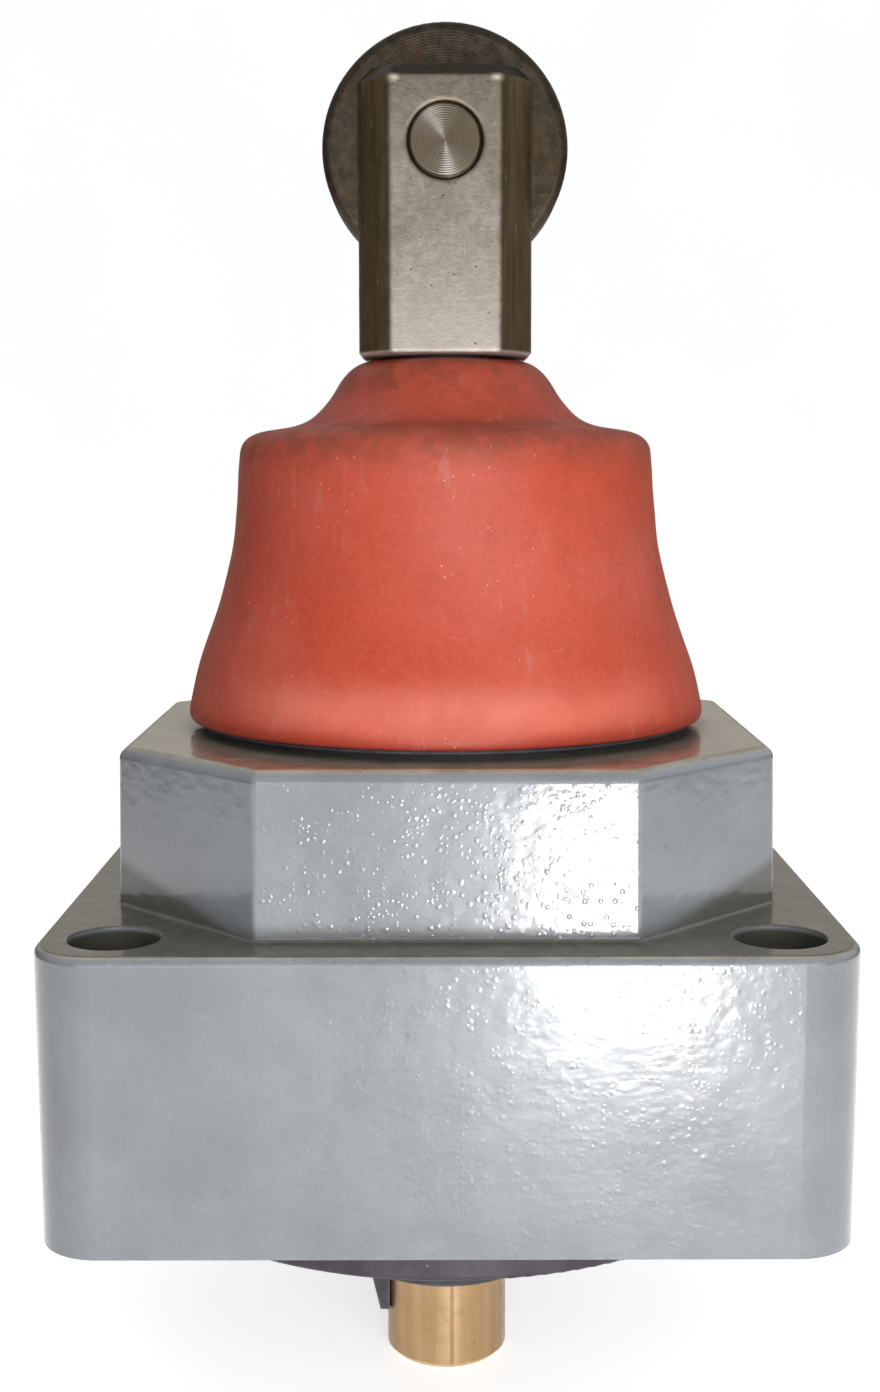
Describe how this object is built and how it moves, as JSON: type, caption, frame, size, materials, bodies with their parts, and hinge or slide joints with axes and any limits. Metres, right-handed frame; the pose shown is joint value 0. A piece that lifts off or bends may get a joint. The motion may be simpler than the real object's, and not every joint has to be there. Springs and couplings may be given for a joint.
{
  "type": "limit switch operating head",
  "caption": "Roller plunger head of a limit switch: a sprung forked plunger with roller in a square die-cast body, sealed by a red boot, moves a brass pusher below.",
  "frame": {"origin": "centre of the four fixing holes, on the mounting face", "axes": "+Z from the mounting face to the roller, +Y along the roller's axle, X along the roller's running direction"},
  "size_m": [0.04, 0.04, 0.0757],
  "materials": {
    "grey_paint": "gloss, light orange peel",
    "red_silicone": "matt, dusty",
    "black_rubber": "matt",
    "black_plastic": "satin",
    "worn_steel": "worn satin, slightly rusty",
    "spring_steel": "drawn wire",
    "zinc_steel": "zinc plated",
    "bronze": "sintered, oiled",
    "brass": "turned, satin"
  },
  "bodies": {
    "housing": {"housing": "grey_paint", "boot": "red_silicone", "boot_retainer": "black_plastic", "seat_gasket": "black_rubber", "retainer_screws": "zinc_steel", "guide_bush": "bronze", "stem_wiper": "black_rubber", "guide_pin": "zinc_steel", "stop_washer": "black_plastic", "return_spring": "spring_steel", "spring_seat": "zinc_steel", "bottom_cover": "black_plastic", "cover_gasket": "black_rubber", "cover_screws": "zinc_steel", "pusher_seal": "black_rubber"},
    "plunger": {"plunger": "worn_steel", "roller_pin": "worn_steel", "thrust_washers": "zinc_steel", "spring_carrier": "zinc_steel", "carrier_pin": "zinc_steel", "overtravel_spring": "spring_steel"},
    "roller": {"roller": "worn_steel", "roller_bush": "bronze"},
    "pusher": {"pusher": "brass"}
  },
  "joints": [
    {"name": "plunger_slide", "type": "slide", "parent": "housing", "child": "plunger", "axis": [0, 0, -1], "range_m": [0, 0.005], "stiffness_N_per_m": 1800, "springref_m": -0.004, "deforming": ["boot", "return_spring"]},
    {"name": "roller_spin", "type": "hinge", "parent": "plunger", "child": "roller", "pos_m": [0, 0, 0.05474], "axis": [0, 1, 0], "continuous": true},
    {"name": "pusher_slide", "type": "slide", "parent": "plunger", "child": "pusher", "axis": [0, 0, 1], "range_m": [0, 0.003], "stiffness_N_per_m": 2500, "springref_m": -0.004, "deforming": ["overtravel_spring"]}
  ]
}
